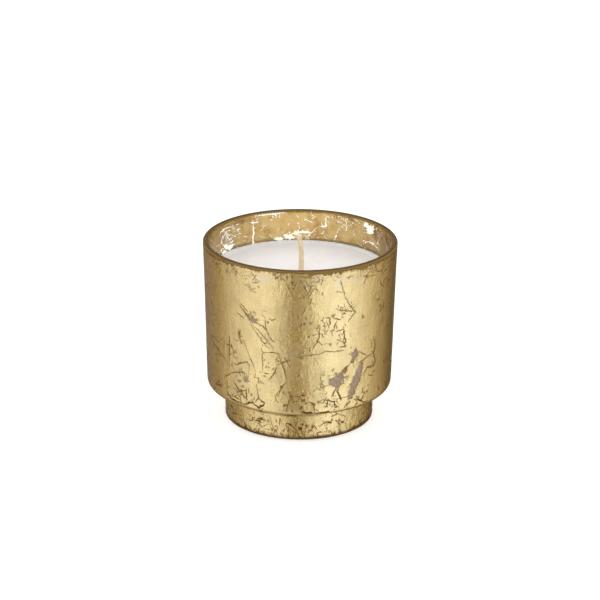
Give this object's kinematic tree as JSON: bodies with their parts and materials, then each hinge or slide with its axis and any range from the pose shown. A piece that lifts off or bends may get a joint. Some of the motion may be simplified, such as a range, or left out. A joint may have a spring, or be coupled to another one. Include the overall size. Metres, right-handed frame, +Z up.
{
  "type": "footed glass tumbler candle",
  "caption": "Wax candle with a wick in a footed glass tumbler, gilded outside with cracked leaf under amber lacquer; open at the top.",
  "frame": {"origin": "middle of the ring that the cup stands on", "axes": "+Z up along the cup's axis of revolution; the wick's free end bends toward -X; -Y is the side that the camera sees"},
  "size_m": [0.08, 0.08, 0.0787],
  "materials": {
    "clear_glass": "fire-polished pressed glass",
    "metal_leaf": "satin imitation gold leaf, cracked and torn",
    "amber_lacquer": "clear amber lacquer, semi-gloss",
    "candle_wax": "smooth white wax with a soft sheen",
    "core_thread": "twisted thread",
    "cotton_braid": "braided cotton",
    "priming_wax": "ivory priming wax",
    "tinplate": "stamped tinplate",
    "adhesive_pad": "white foam with adhesive faces",
    "label_paper": "blank coated paper"
  },
  "bodies": {
    "root": {"glass_cup": "clear_glass", "leaf_bowl": "metal_leaf", "leaf_foot": "metal_leaf", "lacquer": "amber_lacquer", "wax_fill": "candle_wax", "wick_core": "core_thread", "wick_braid": "cotton_braid", "wick_wax_coat": "priming_wax", "wick_sustainer": "tinplate", "wick_sticker": "adhesive_pad", "base_label": "label_paper"}
  },
  "joints": []
}
